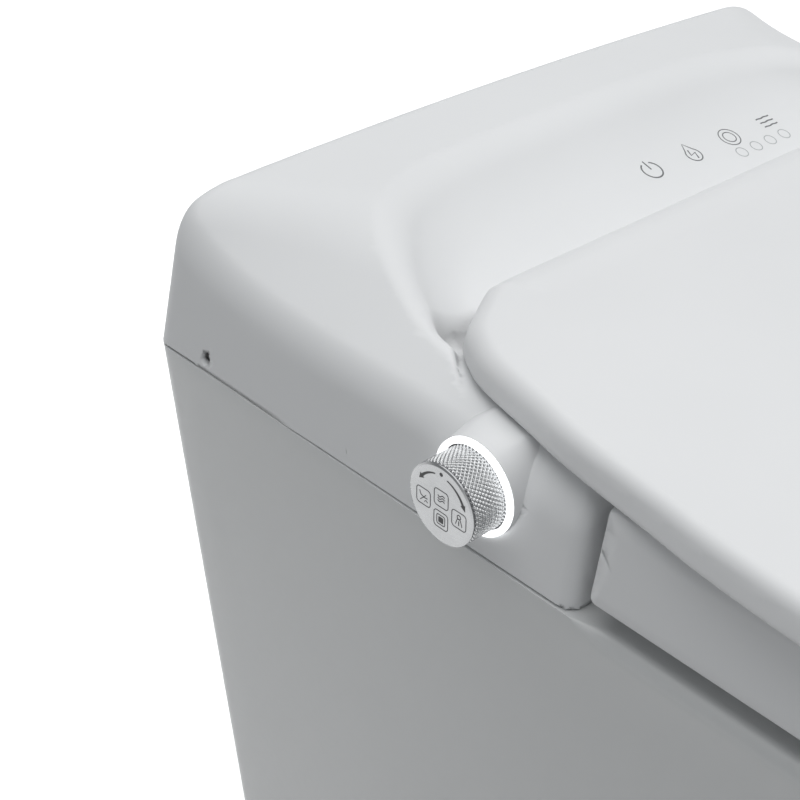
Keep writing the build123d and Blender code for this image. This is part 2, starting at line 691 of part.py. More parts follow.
# ---- electronics ------------------------------------------------------------
with BuildPart() as control_board:
    block(156, 182, 72, 150, base_top + 4, base_top + 5.6)
    for y in (84, 104, 126):
        block(160, 176, y, y + 12, base_top + 5.6, base_top + 13)
save(control_board, "control_board")
with BuildPart() as power_supply:
    block(138, 184, 256, 282, base_top, base_top + 24)
save(power_supply, "power_supply")
with BuildPart() as power_gland:
    rod_z(inlet_x, inlet_y, deck_z - 30, base_top + 2, 6.8)
    rod_z(inlet_x, inlet_y, base_top, base_top + 4, 11)
    rod_z(inlet_x, inlet_y, deck_z - 31, base_top + 5, 3.6, mode=Mode.SUBTRACT)
save(power_gland, "power_gland")
slope = math.radians(scoop_slope)
board_plane = Plane(
    origin=(60, rear_y - 95, deck_z + 39.2),
    x_dir=(1, 0, 0),
    z_dir=(0, -math.sin(slope), math.cos(slope)),
)
with BuildPart() as panel_board:
    with BuildSketch(board_plane):
        Rectangle(150, 26)
    extrude(amount=1.6)
save(panel_board, "panel_board")

with BuildPart() as cover_screws:
    for x, y in screw_places:
        rod_z(x, y, deck_z + 1, base_top + 9, 1.8)
        rod_z(x, y, base_top, base_top + 2.4, 3.6)
save(cover_screws, "cover_screws")
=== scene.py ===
import json
import math

import bmesh
import bpy
import numpy as np
import openvdb
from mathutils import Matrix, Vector


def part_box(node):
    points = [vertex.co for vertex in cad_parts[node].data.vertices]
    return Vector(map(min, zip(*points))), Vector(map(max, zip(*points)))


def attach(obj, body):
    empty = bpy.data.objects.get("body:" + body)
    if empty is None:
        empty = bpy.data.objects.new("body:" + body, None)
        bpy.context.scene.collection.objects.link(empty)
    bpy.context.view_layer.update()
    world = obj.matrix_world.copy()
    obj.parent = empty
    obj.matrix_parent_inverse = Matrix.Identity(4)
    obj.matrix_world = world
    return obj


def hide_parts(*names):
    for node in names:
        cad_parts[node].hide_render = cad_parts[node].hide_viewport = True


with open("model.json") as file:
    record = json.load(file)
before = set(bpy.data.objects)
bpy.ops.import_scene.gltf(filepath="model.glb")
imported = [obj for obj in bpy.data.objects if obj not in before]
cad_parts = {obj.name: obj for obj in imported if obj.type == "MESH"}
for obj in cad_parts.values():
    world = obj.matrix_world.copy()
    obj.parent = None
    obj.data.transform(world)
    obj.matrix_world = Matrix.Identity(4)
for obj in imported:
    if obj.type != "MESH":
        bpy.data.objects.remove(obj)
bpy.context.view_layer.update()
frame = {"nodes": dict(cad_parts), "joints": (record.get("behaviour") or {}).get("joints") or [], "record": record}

# ---- the frame's own numbers, in millimetres --------------------------------------------------


def node_box(node):
    low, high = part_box(node)
    return [v * 1000 for v in low], [v * 1000 for v in high]


def joint_place(name):
    found = next(j for j in frame["joints"] if j["name"] == name)
    return [v * 1000 for v in found["pos_m"]]


ceramic_low, ceramic_high = node_box("ceramic_body")
DECK = ceramic_high[2]
REAR = ceramic_high[1]
TIP = ceramic_low[1]
HINGE_Y, HINGE_Z = joint_place("lid_open")[1:]
KNOB_Y, KNOB_Z = joint_place("knob_turn")[1:]
FACE_X = node_box("knob_face")[0][0]
LIGHT_X = node_box("knob_light_ring")[0][0]
EAR_Y = node_box("rear_cover")[0][1]

# ---- shared sizes: lengths in millimetres, heights over the deck (the part line) --------------

BULGE_Y = -65.0  # where the straight sides end and the round front begins
SIDE = 198.5  # half width of ring and ceramic at BULGE_Y
HALF = 200.0  # half width at the back
RING_BACK = EAR_Y - 5.0
ROLL_R = 18.0  # round back edge of the lid, about the hinge line
TROUGH_R = 19.6  # hollow in the housing that the roll turns in
SIDE_LEAN = math.radians(11.5)
BACK_LEAN = math.radians(3.5)
EAR_LEAN = math.radians(5.0)
RING_LEAN = math.radians(10.5)
PANEL_SLOPE = math.radians(18.0)
PANEL_MID_Y, PANEL_MID_Z = -93.0, 46.0  # a point of the panel, from the rear and over the deck
HOUSING_DEPTH = 236.0
ROOF = 66.3
ROOF_CROWN = 0.00012
SHOULDER_X = 192.0
SWELL_REACH = 35.0  # how far forward the rear edge's swell fades
SCOOP_BACK, SCOOP_HALF, SCOOP_CORNER, SCOOP_TOP = 64.0, 176.0, 100.0, 60.0
TROUGH_HALF = 132.0
NECK_R, NECK_HALF = 17.0, 143.0
SWING_HALF, SWING_FLOOR = 162.0, 31.5
BAY_HALF, BAY_FLOOR = 150.0, 30.0
POCKET_GAP, POCKET_FLOOR = 1.8, 43.6
WALL = 3.0
LID_HALF, LID_REACH = 204.0, 330.0
LID_UNDER, LID_RIM, LID_CROWN = 45.0, 56.6, 2.2
LID_CHAMFER_Z = 45.5
RING_UNDER, RING_TOP, RING_DISH = 9.0, 43.0, 6.0
OPENING_X, OPENING_Y, OPENING_CENTRE = 103.0, 146.0, -150.0
OPENING_MEAN = 112.0  # turns the ellipse's share into about millimetres
NECK_Z, NECK_THICK = 37.0, 5.0
TAB_X, TAB_HALF = 108.0, 12.0
BOWL_Y = -155.0


# ---- fields and meshes ------------------------------------------------------------------------


def round_max(a, b, r):
    """Both fields at once, with an edge of radius r."""
    return np.minimum(np.maximum(a, b), -r) + np.sqrt(
        np.maximum(a + r, 0) ** 2 + np.maximum(b + r, 0) ** 2
    )


def soft_min(a, b, k):
    """The nearer field, blended over a width of k."""
    h = np.maximum(k - np.abs(a - b), 0) / k
    return np.minimum(a, b) - h * h * k / 4


def soft_max(a, b, k):
    """The farther field, blended over a width of k."""
    return -soft_min(-a, -b, k)


def make_object(
    name, points, faces, material, body, replaces=(), smooth=True, normals=None, sharp=None,
):
    """A mesh object from points in millimetres, riding on a body."""
    mesh = bpy.data.meshes.new(name)
    metres = [tuple(p) for p in np.asarray(points, float) * 0.001]
    mesh.from_pydata(metres, [], [tuple(map(int, f)) for f in faces])
    mesh.validate()
    work = bmesh.new()
    work.from_mesh(mesh)
    bmesh.ops.recalc_face_normals(work, faces=work.faces)
    work.to_mesh(mesh)
    work.free()
    mesh.polygons.foreach_set("use_smooth", [smooth] * len(mesh.polygons))
    if sharp is not None:
        mesh.set_sharp_from_angle(angle=math.radians(sharp))
    if normals is not None:
        mesh.normals_split_custom_set_from_vertices([tuple(n) for n in normals])
    mesh.materials.append(material)
    obj = bpy.data.objects.new(name, mesh)
    bpy.context.scene.collection.objects.link(obj)
    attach(obj, body)
    if replaces:
        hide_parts(*replaces)
    return obj


def slope_of(field, p, e):
    """The field's gradient at the points, from differences over e to each side."""
    x, y, z = p[:, 0], p[:, 1], p[:, 2]
    return np.stack([
        field(x + e, y, z) - field(x - e, y, z),
        field(x, y + e, z) - field(x, y - e, z),
        field(x, y, z + e) - field(x, y, z - e),
    ], axis=1) / (2 * e)


def field_object(name, low, high, step, field, material, body, replaces=(), adapt=0.0):
    """The zero surface of a field as a mesh with exact points and normals."""
    axes = [np.arange(low[i], high[i] + step, step) for i in range(3)]
    x = axes[0][:, None, None]
    y = axes[1][None, :, None]
    z = axes[2][None, None, :]
    values = np.broadcast_to(field(x, y, z), [len(a) for a in axes]).astype(np.float32)
    band = 3 * step
    values = np.clip(values, -band, band)
    grid = openvdb.FloatGrid(band)
    grid.copyFromArray(np.ascontiguousarray(values))
    points, tris, quads = grid.convertToPolygons(0.0, adapt)
    points = points.astype(float) * step + np.array([a[0] for a in axes])
    for _ in range(2):
        g = slope_of(field, points, 0.25)
        size = np.maximum((g ** 2).sum(1), 0.25)
        f = field(points[:, 0], points[:, 1], points[:, 2])
        move = np.clip(f / size, -0.4 * step, 0.4 * step)
        points = points - g * move[:, None]
    g = slope_of(field, points, 0.35)
    g = g / np.maximum(np.linalg.norm(g, axis=1), 1e-6)[:, None]
    faces = [tuple(f) for f in quads] + [tuple(f) for f in tris]
    return make_object(name, points, faces, material, body, replaces, normals=g)


class Plan:
    """Signed distance from a closed outline in the XY plane, kept as a table."""

    def __init__(self, outline, margin=14.0, step=1.0):
        pts = np.asarray(outline, float)
        self.low = pts.min(0) - margin
        count = np.ceil((pts.max(0) + margin - self.low) / step).astype(int) + 1
        self.step = step
        gx = self.low[0] + step * np.arange(count[0])[:, None]
        gy = self.low[1] + step * np.arange(count[1])[None, :]
        best = np.full(tuple(count), 1e12)
        inside = np.zeros(tuple(count), bool)
        for (ax, ay), (bx, by) in zip(pts, np.roll(pts, -1, axis=0)):
            dx, dy = bx - ax, by - ay
            t = np.clip(((gx - ax) * dx + (gy - ay) * dy) / (dx * dx + dy * dy + 1e-12), 0, 1)
            best = np.minimum(best, (gx - ax - t * dx) ** 2 + (gy - ay - t * dy) ** 2)
            if abs(dy) > 1e-12:
                crosses = ((ay > gy) != (by > gy)) & (gx < dx * (gy - ay) / dy + ax)
                inside ^= crosses
        distance = np.sqrt(best)
        self.table = np.where(inside, -distance, distance)

    def __call__(self, x, y):
        u = np.clip((x - self.low[0]) / self.step, 0, self.table.shape[0] - 1.001)
        v = np.clip((y - self.low[1]) / self.step, 0, self.table.shape[1] - 1.001)
        i, j = np.floor(u).astype(int), np.floor(v).astype(int)
        a, b = u - i, v - j
        t = self.table
        return (
            t[i, j] * (1 - a) * (1 - b) + t[i + 1, j] * a * (1 - b)
            + t[i, j + 1] * (1 - a) * b + t[i + 1, j + 1] * a * b
        )


def smooth_curve(knots, count):
    """Catmull-Rom points through the knots."""
    k = np.asarray(knots, float)
    k = np.vstack([2 * k[0] - k[1], k, 2 * k[-1] - k[-2]])
    out = []
    for i in range(1, len(k) - 2):
        for t in np.linspace(0, 1, count, endpoint=False):
            a, b, c, d = k[i - 1], k[i], k[i + 1], k[i + 2]
            square = 2 * a - 5 * b + 4 * c - d
            cube = 3 * b - a - 3 * c + d
            out.append(0.5 * (2 * b + (c - a) * t + square * t * t + cube * t ** 3))
    out.append(k[-2])
    return np.array(out)


def lid_outline():
    back_y = HINGE_Y + ROLL_R
    knots = [
        (LID_HALF, BULGE_Y), (202.5, -23), (199, 13), (195.5, 34), (189, 74), (183.5, 97),
        (177, 124), (171, 137), (163, 148), (150, 157), (134, back_y - 3), (118, back_y),
    ]
    side = smooth_curve(knots, 9)
    t = np.linspace(0, math.pi, 121)[1:-1]
    front = np.stack([LID_HALF * np.cos(t), BULGE_Y - LID_REACH * np.sin(t)], axis=1)
    left = side[::-1] * np.array([-1, 1])
    # up the right side, along the back, down the left side, round the front
    return np.vstack([side, left, front[::-1]])


def ring_outline():
    t = np.linspace(0, math.pi, 121)[1:-1]
    reach = BULGE_Y - TIP
    front = np.stack([SIDE * np.cos(t), BULGE_Y - reach * np.sin(t)], axis=1)
    right = np.array([(SIDE, BULGE_Y), (SIDE, RING_BACK + 30)])
    left = right[::-1] * np.array([-1, 1])
    return np.vstack([right, left, front[::-1]])


lid_plan = Plan(lid_outline())
ring_plan = Plan(ring_outline())


# ---- materials --------------------------------------------------------------------------------


def new_material(name):
    mat = bpy.data.materials.new(name)
    mat.use_nodes = True
    nodes, links = mat.node_tree.nodes, mat.node_tree.links
    nodes.clear()
    out = nodes.new("ShaderNodeOutputMaterial")
    shader = nodes.new("ShaderNodeBsdfPrincipled")
    links.new(shader.outputs[0], out.inputs[0])
    coords = nodes.new("ShaderNodeTexCoord")
    return mat, nodes, links, shader, coords


def noise(nodes, links, coords, scale, detail=3.0, stretch=(1, 1, 1)):
    mapping = nodes.new("ShaderNodeMapping")
    mapping.inputs["Scale"].default_value = stretch
    tex = nodes.new("ShaderNodeTexNoise")
    tex.inputs["Scale"].default_value = scale
    tex.inputs["Detail"].default_value = detail
    links.new(coords.outputs["Object"], mapping.inputs[0])
    links.new(mapping.outputs[0], tex.inputs["Vector"])
    return tex


def span(nodes, links, source, low, high):
    """The middle of a noise, spread over low to high."""
    node = nodes.new("ShaderNodeMapRange")
    node.inputs["From Min"].default_value = 0.3
    node.inputs["From Max"].default_value = 0.7
    node.inputs["To Min"].default_value = low
    node.inputs["To Max"].default_value = high
    links.new(source, node.inputs["Value"])
    return node.outputs[0]


def tint(nodes, links, source, dark, light):
    """The middle of a noise, spread over two colours."""
    ramp = nodes.new("ShaderNodeValToRGB")
    ramp.color_ramp.elements[0].position = 0.3
    ramp.color_ramp.elements[0].color = (*dark, 1)
    ramp.color_ramp.elements[1].position = 0.7
    ramp.color_ramp.elements[1].color = (*light, 1)
    links.new(source, ramp.inputs[0])
    return ramp.outputs[0]


def bump(nodes, links, shader, source, strength, distance):
    node = nodes.new("ShaderNodeBump")
    node.inputs["Strength"].default_value = strength
    node.inputs["Distance"].default_value = distance
    links.new(source, node.inputs["Height"])
    links.new(node.outputs[0], shader.inputs["Normal"])


def surface(
    name, colour, rough, metal=0.0, vary=0.02, grain=900.0, depth=0.00002, cloud=14.0,
    stretch=(1, 1, 1), coat=0.0,
):
    """A moulded, glazed or machined surface: faint clouding, uneven gloss and a fine grain."""
    mat, nodes, links, shader, coords = new_material(name)
    clouds = noise(nodes, links, coords, cloud, 4.0)
    fine = noise(nodes, links, coords, grain, 2.0, stretch)
    dark = [max(c * (1 - vary), 0) for c in colour]
    light = [min(c * (1 + vary), 1) for c in colour]
    links.new(tint(nodes, links, clouds.outputs["Fac"], dark, light), shader.inputs["Base Color"])
    links.new(span(nodes, links, fine.outputs["Fac"], rough - 0.04, rough + 0.04), shader.inputs["Roughness"])
    shader.inputs["Metallic"].default_value = metal
    shader.inputs["Coat Weight"].default_value = coat
    bump(nodes, links, shader, fine.outputs["Fac"], 0.25, depth)
    return mat


def lit(name, colour, strength):
    """A light guide: pale plastic that glows a little unevenly."""
    mat, nodes, links, shader, coords = new_material(name)
    clouds = noise(nodes, links, coords, 300.0, 2.0).outputs["Fac"]
    pale_base = tint(nodes, links, clouds, (0.96, 0.97, 0.98), (1, 1, 1))
    links.new(pale_base, shader.inputs["Base Color"])
    glow = tint(nodes, links, clouds, [c * 0.97 for c in colour], colour)
    links.new(glow, shader.inputs["Emission Color"])
    shader.inputs["Emission Strength"].default_value = strength
    shader.inputs["Roughness"].default_value = 0.4
    return mat


WHITE = (0.800, 0.806, 0.812)
BRIGHT_WHITE = (0.815, 0.820, 0.826)
looks = {
    "ceramic": surface(
        "glaze", (0.655, 0.665, 0.665), 0.34,
        vary=0.012, grain=260.0, depth=0.00002, cloud=9.0, coat=0.05,
    ),
    "housing_plastic": surface("housing_satin", WHITE, 0.46, vary=0.010, grain=1500.0),
    "lid_plastic": surface("lid_satin", BRIGHT_WHITE, 0.44, vary=0.010, grain=1500.0),
    "seat_plastic": surface("ring_satin", WHITE, 0.44, vary=0.010, grain=1500.0),
    "white_plastic": surface("flap_satin", WHITE, 0.45, vary=0.015, grain=1400.0),
    "inner_plastic": surface(
        "inner_moulding", (0.66, 0.66, 0.64), 0.55, vary=0.04, grain=700.0, depth=0.00004,
    ),
    "grey_plastic": surface(
        "grey_moulding", (0.30, 0.31, 0.32), 0.5, vary=0.05, grain=700.0, depth=0.00004,
    ),
    "black_plastic": surface(
        "black_moulding", (0.025, 0.025, 0.028), 0.5, vary=0.15, grain=700.0, depth=0.00004,
    ),
    "rubber": surface(
        "rubber_black", (0.02, 0.02, 0.02), 0.75, vary=0.2, grain=500.0, depth=0.00006,
    ),
    "rubber_white": surface(
        "rubber_pale", (0.70, 0.70, 0.69), 0.7, vary=0.03, grain=500.0, depth=0.00006,
    ),
    "steel": surface(
        "zinc_plate", (0.62, 0.62, 0.60), 0.35, metal=1.0, vary=0.06, grain=420.0, stretch=(1, 1, 8),
    ),
    "nozzle_steel": surface(
        "wand_steel", (0.70, 0.70, 0.69), 0.18, metal=1.0, vary=0.04, grain=300.0, stretch=(8, 1, 1),
    ),
    "knob_metal": surface(
        "knob_brushed", (0.39, 0.395, 0.40), 0.28, metal=1.0, vary=0.05, grain=1100.0,
        depth=0.00001, stretch=(1, 0.12, 3.0), cloud=120.0,
    ),
    "brass": surface(
        "brass_turned", (0.60, 0.44, 0.18), 0.3, metal=1.0, vary=0.08, grain=420.0, stretch=(1, 1, 8),
    ),
    "foil": surface(
        "foil", (0.75, 0.75, 0.75), 0.3, metal=1.0, vary=0.06, grain=220.0, depth=0.0001,
    ),
    "board": surface(
        "circuit_board", (0.02, 0.12, 0.05), 0.45, vary=0.35, grain=160.0, depth=0.0001, cloud=160.0,
    ),
    "light": lit("light_guide", (0.97, 0.985, 1.0), 1.7),
}
slots = {s["node"]: s["material_slot"] for s in frame["record"]["subparts"]}
for node, obj in frame["nodes"].items():
    obj.data.materials.clear()
    obj.data.materials.append(looks[slots[node]])
ink = surface("grey_print", (0.16, 0.165, 0.17), 0.6, vary=0.1, grain=2000.0)
faint_ink = surface("faint_print", (0.42, 0.43, 0.44), 0.6, vary=0.06, grain=2000.0)
black_ink = surface("black_print", (0.012, 0.012, 0.013), 0.5, vary=0.2, grain=2000.0)
sleeve_metal = surface(
    "sleeve_metal", (0.55, 0.555, 0.56), 0.24, metal=1.0, vary=0.05, grain=800.0, depth=0.00001,
)
# painted shade: a dark metal colour in the groove between the knob's face disc and knurled sleeve
groove_painted_shade = surface("groove_painted_shade", (0.22, 0.22, 0.23), 0.38, metal=1.0, vary=0.1, grain=600.0)


# ---- housing ----------------------------------------------------------------------------------


def panel_height(yr):
    """Height of the sloped panel over the deck, at a distance from the rear."""
    return PANEL_MID_Z + (yr - PANEL_MID_Y) * math.tan(PANEL_SLOPE)


def housing_field(x, y, z):
    """The housing as a solid."""
    ax = np.abs(x)
    zr = z - DECK
    yr = y - REAR
    taper = 1.5 * yr / HOUSING_DEPTH
    side = (ax - (HALF + taper) + zr * math.tan(SIDE_LEAN)) * math.cos(SIDE_LEAN)
    back = (yr + zr * math.tan(BACK_LEAN)) * math.cos(BACK_LEAN)
    ear = (EAR_Y + zr * math.tan(EAR_LEAN) - y) * math.cos(EAR_LEAN)
    wall = round_max(round_max(side, back, 12.0), ear, 6.0)
    swell = np.exp(np.minimum(yr, 0) / SWELL_REACH)
    edge = 35.0 + 18.0 * swell
    fall = 0.5 + 0.4 * swell
    shoulder = (zr - edge - (SHOULDER_X - ax) * fall) / np.sqrt(1 + fall * fall)
    roof = soft_max(zr - ROOF + ROOF_CROWN * x * x, shoulder, 10.0)
    body = round_max(wall, roof, 7.5)
    # the scoop with the touch panel on its floor
    plan = round_max(yr + SCOOP_BACK, ax - SCOOP_HALF, SCOOP_CORNER)
    run = 0.85 + 0.3 * np.clip((yr + 125.0) / 35.0, 0, 1)
    walls = (plan - (zr - SCOOP_TOP) * run) / np.sqrt(1 + run * run)
    floor = (panel_height(yr) - zr) * math.cos(PANEL_SLOPE)
    scoop = round_max(walls, floor, 7.0)
    body = round_max(body, -scoop, 7.0)
    # trough of the hinge line, room for the swinging corners, bay of the ring, pocket of the lid
    around = np.sqrt((y - HINGE_Y) ** 2 + (z - HINGE_Z) ** 2)
    trough = np.maximum(around - TROUGH_R, ax - TROUGH_HALF)
    trough = np.minimum(trough, np.maximum(around - NECK_R, ax - NECK_HALF))
    swing = round_max(around - TROUGH_R, ax - SWING_HALF, 15.0)
    swing = round_max(swing, SWING_FLOOR - zr, 4.0)
    swing = round_max(swing, HINGE_Y - 1.0 - y, 3.0)
    body = round_max(body, -trough, 1.5)
    body = round_max(body, -swing, 6.0)
    bay = np.maximum(np.maximum(ax - BAY_HALF, y - HINGE_Y), BAY_FLOOR - zr)
    body = round_max(body, -bay, 2.0)
    pocket = np.maximum(lid_plan(x, y) - POCKET_GAP, POCKET_FLOOR - zr)
    return round_max(body, -pocket, 3.0)


def housing_shell(x, y, z):
    """The housing hollowed to its wall, with its openings."""
    zr = z - DECK
    yr = y - REAR
    solid = housing_field(x, y, z)
    result = round_max(solid, 0.1 - zr, 0.12)
    result = np.maximum(result, -(solid + WALL))
    hole = np.maximum(np.sqrt((y - KNOB_Y) ** 2 + (z - KNOB_Z) ** 2) - 16.6, x + 150.0)
    result = np.maximum(result, -hole)
    drain = np.maximum(np.sqrt((yr + 37.2) ** 2 + (zr - 5.6) ** 2) - 2.7, 3.4 - zr)
    result = np.maximum(result, -np.maximum(drain, x + 180.0))
    mouth = np.maximum(np.maximum(np.abs(x) - 25.0, y - EAR_Y - 12.0), zr - 12.0)
    result = np.maximum(result, -mouth)
    vent = np.maximum(np.abs(x - 50.0) - 15.0, y - EAR_Y - 12.0)
    vent = np.maximum(vent, np.abs(zr - 11.0) - 7.0)
    return np.maximum(result, -vent)


field_object(
    "housing", (-204, EAR_Y - 6, DECK - 3), (204, REAR + 4, DECK + 70), 1.5, housing_shell,
    looks["housing_plastic"], "base", ["rear_cover"], adapt=0.05,
)


# ---- lid --------------------------------------------------------------------------------------


def lid_field(x, y, z):
    """The lid's shell, open below, with the roll at its back."""
    zr = z - DECK
    d = lid_plan(x, y)
    rim = LID_RIM + LID_CROWN * (1 - np.exp(np.minimum(d, 0) / 45.0))
    turn = np.clip((y - 40.0) / 100.0, 0, 1)
    radius = 4.4 + 2.0 * turn * turn * (3 - 2 * turn)
    side = (d + np.maximum(zr - LID_CHAMFER_Z, 0) * 0.25) / 1.03
    slab = round_max(side, zr - rim, radius)
    slab = round_max(slab, LID_UNDER - zr, 2.2)
    around = np.sqrt((y - HINGE_Y) ** 2 + (z - HINGE_Z) ** 2)
    behind = np.where(y > HINGE_Y, around - ROLL_R, -99.0)
    slab = np.maximum(slab, behind)
    slab = np.maximum(slab, -np.maximum(side + 5.5, zr - rim + 3.0))
    roll = round_max(around - ROLL_R, np.abs(x) - 130.0, 2.5)
    hollow = np.maximum(around - ROLL_R + WALL, np.abs(x) - 124.0)
    roll = np.maximum(roll, -hollow)
    roll = np.maximum(roll, 34.0 - zr)
    roll = np.maximum(roll, -np.maximum(y - HINGE_Y + 8.0, zr - LID_UNDER))
    return soft_min(slab, roll, 1.5)


field_object(
    "lid_shell", (-208, TIP - 11, DECK + 30), (208, HINGE_Y + 24, DECK + 62), 1.35, lid_field,
    looks["lid_plastic"], "lid", ["lid_outer"], adapt=0.012,
)


# ---- ring -------------------------------------------------------------------------------------


def ring_field(x, y, z):
    """The seat ring with its opening, and the neck and tabs that reach the hinge."""
    zr = z - DECK
    ax = np.abs(x)
    d = ring_plan(x, y)
    wall = (d + (zr - RING_UNDER) * math.tan(RING_LEAN)) * math.cos(RING_LEAN)
    wall = round_max(wall, y - RING_BACK, 3.5)
    share = np.sqrt((x / OPENING_X) ** 2 + ((y - OPENING_CENTRE) / OPENING_Y) ** 2)
    hole = (1.0 - share) * OPENING_MEAN
    dish = RING_TOP - RING_DISH * np.exp(np.minimum(hole, 0) / 26.0)
    top_r = 2.0 + 3.0 * np.exp(np.minimum(hole, 0) / 30.0)
    body = round_max(wall, zr - dish, top_r)
    body = round_max(body, RING_UNDER - zr, 3.0)
    body = round_max(body, hole, 7.0)
    thick = np.abs(zr - NECK_Z) - NECK_THICK
    neck = np.maximum(np.maximum(ax - 144.0, thick), np.abs(y - 80.0) - 51.0)
    across = np.abs(ax - TAB_X) - TAB_HALF
    tabs = np.maximum(np.maximum(across, thick), np.abs(y - HINGE_Y + 20.0) - 19.0)
    around = np.sqrt((y - HINGE_Y) ** 2 + (z - HINGE_Z) ** 2)
    tabs = np.minimum(tabs, np.maximum(around - 7.0, across))
    neck = soft_min(neck, tabs, 2.0)
    neck = np.maximum(neck, hole)
    return soft_min(body, neck, 4.0)


field_object(
    "seat_ring", (-202, TIP - 4, DECK + 6), (202, HINGE_Y + 10, DECK + 50), 1.5, ring_field,
    looks["seat_plastic"], "seat", ["seat_ring_upper"], adapt=0.05,
)


# ---- ceramic body -----------------------------------------------------------------------------


def body_loop(half_back, half_side, back_y, tip_y, corner):
    """Outline points, clockwise from the middle of the back."""
    c = max(corner, 0.5)
    arc = np.linspace(0, math.pi / 2, 9)
    back = np.stack([np.linspace(0, half_back - c, 10)[:-1], np.full(9, back_y)], axis=1)
    turn = np.stack([half_back - c + c * np.sin(arc), back_y - c + c * np.cos(arc)], axis=1)
    side = np.stack([
        np.linspace(half_back, half_side, 26)[1:-1],
        np.linspace(back_y - c, BULGE_Y, 26)[1:-1],
    ], axis=1)
    t = np.linspace(0, math.pi / 2, 49)
    front = np.stack([half_side * np.cos(t), BULGE_Y - (BULGE_Y - tip_y) * np.sin(t)], axis=1)
    right = np.vstack([back, turn, side, front])
    left = right[1:-1][::-1] * np.array([-1, 1])
    return np.vstack([right, left])


def foot_to_top(share, inset=0.0):
    """The outline at a share of the height: 0 at the foot, 1 at the deck."""
    def mix(a, b):
        return a + (b - a) * share
    return body_loop(
        mix(172.5, HALF) - inset, mix(167.0, SIDE) - inset,
        mix(293.5, REAR) - inset, mix(-290.0, TIP) + inset, 12.5 - inset,
    )


def with_z(loop, z):
    z = np.broadcast_to(z, (len(loop),))
    return np.column_stack([loop, z])


top_loop = foot_to_top(1.0)
bowl_angle = np.arctan2((top_loop[:, 1] - BOWL_Y) / 188.0, top_loop[:, 0] / 140.0)


def bowl_loop(cy, ax, ay):
    """An ellipse whose points pair up with the outline's."""
    return np.stack([ax * np.cos(bowl_angle), cy + ay * np.sin(bowl_angle)], axis=1)


ahead = np.clip((EAR_Y + 1.0 - top_loop[:, 1]) / 3.0, 0, 1)
edge_r = 0.15 + 5.4 * ahead
rows = []
for z, inset in ((0.0, 1.5), (1.5, 0.0)):
    rows.append(with_z(foot_to_top(z / DECK, inset), z))
for z in np.linspace(8, DECK - 8, 22):
    rows.append(with_z(foot_to_top(z / DECK), z))
for a in np.linspace(0, math.pi / 2, 8):
    inner = foot_to_top(1.0, 1.0) - top_loop
    shift = inner * (edge_r * (1 - math.cos(a)))[:, None]
    rows.append(with_z(top_loop + shift, DECK - edge_r + edge_r * math.sin(a)))
deck_edge = rows[-1][:, :2]
LIP_R = 8
lip = bowl_loop(BOWL_Y, 148.0, 196.0)
for t in (0.2, 0.45, 0.7, 0.9, 1.0):
    rows.append(with_z(deck_edge + (lip - deck_edge) * t, DECK))
for a in np.linspace(0.2, math.pi / 2, 6):
    roll_in = LIP_R * math.sin(a)
    loop = bowl_loop(BOWL_Y, 148.0 - roll_in, 196.0 - roll_in)
    rows.append(with_z(loop, DECK - LIP_R + LIP_R * math.cos(a)))
# depth under the deck, centre and half axes of the bowl
levels = [
    (8, -155, 140, 188), (80, -149, 130, 168), (170, -85, 88, 105),
    (225, -25, 50, 52), (240, 0, 34, 34),
]
inside = smooth_curve(levels, 7)
for depth, cy, ax, ay in inside[1:]:
    rows.append(with_z(bowl_loop(cy, ax, ay), DECK - depth))
rows.append(with_z(bowl_loop(0, 34, 34), 0.0))
rows.append(with_z(bowl_loop(0, 43, 43), 0.0))
rows.append(with_z(bowl_loop(0, 43, 43), DECK - 250))
for depth, cy, ax, ay in inside[::-1][4:-8:3]:
    rows.append(with_z(bowl_loop(cy, ax + 11, ay + 11), DECK - depth - 5))
rows.append(with_z(bowl_loop(-155, 151, 199), DECK - 18))
rows.append(with_z(foot_to_top(1.0, 11.5), DECK - 18))
for z in np.linspace(DECK - 40, 0, 6):
    rows.append(with_z(foot_to_top(z / DECK, 11.0), z))


def stitch(rows, closed):
    """Quads between rows of equal length; closed also joins the last row to the first."""
    n = len(rows[0])
    points = np.vstack(rows)
    count = len(rows)
    faces = []
    for r in range(count if closed else count - 1):
        s = (r + 1) % count
        for i in range(n):
            k = (i + 1) % n
            faces.append((r * n + i, r * n + k, s * n + k, s * n + i))
    return points, faces


points, faces = stitch(rows, closed=True)
ceramic = make_object(
    "ceramic_skirted_body", points, faces, looks["ceramic"], "base", ["ceramic_body"], sharp=50,
)


def cutter_box(x0, x1, y0, y1, z0, z1):
    mesh = bpy.data.meshes.new("cutter")
    work = bmesh.new()
    bmesh.ops.create_cube(work, size=1.0)
    for v in work.verts:
        v.co.x = ((x0 + x1) / 2 + v.co.x * (x1 - x0)) * 0.001
        v.co.y = ((y0 + y1) / 2 + v.co.y * (y1 - y0)) * 0.001
        v.co.z = ((z0 + z1) / 2 + v.co.z * (z1 - z0)) * 0.001
    work.to_mesh(mesh)
    work.free()
    obj = bpy.data.objects.new("cutter", mesh)
    bpy.context.scene.collection.objects.link(obj)
    return obj


def cut(target, *cutters):
    """Takes the cutters out of the target and removes them."""
    for tool in cutters:
        mod = target.modifiers.new("cut", "BOOLEAN")
        mod.operation = "DIFFERENCE"
        mod.solver = "EXACT"
        mod.object = tool
    graph = bpy.context.evaluated_depsgraph_get()
    mesh = bpy.data.meshes.new_from_object(target.evaluated_get(graph))
    target.modifiers.clear()
    target.data = mesh
    for tool in cutters:
        bpy.data.objects.remove(tool)


cut(
    ceramic,
    cutter_box(-40, 40, -8, 118, DECK - 16, DECK + 6),
    cutter_box(-165, -135, 225, 255, DECK - 30, DECK + 6),
    cutter_box(140, 160, 230, 250, DECK - 30, DECK + 6),
)

# ---- round pieces of the knob -----------------------------------------------------------------


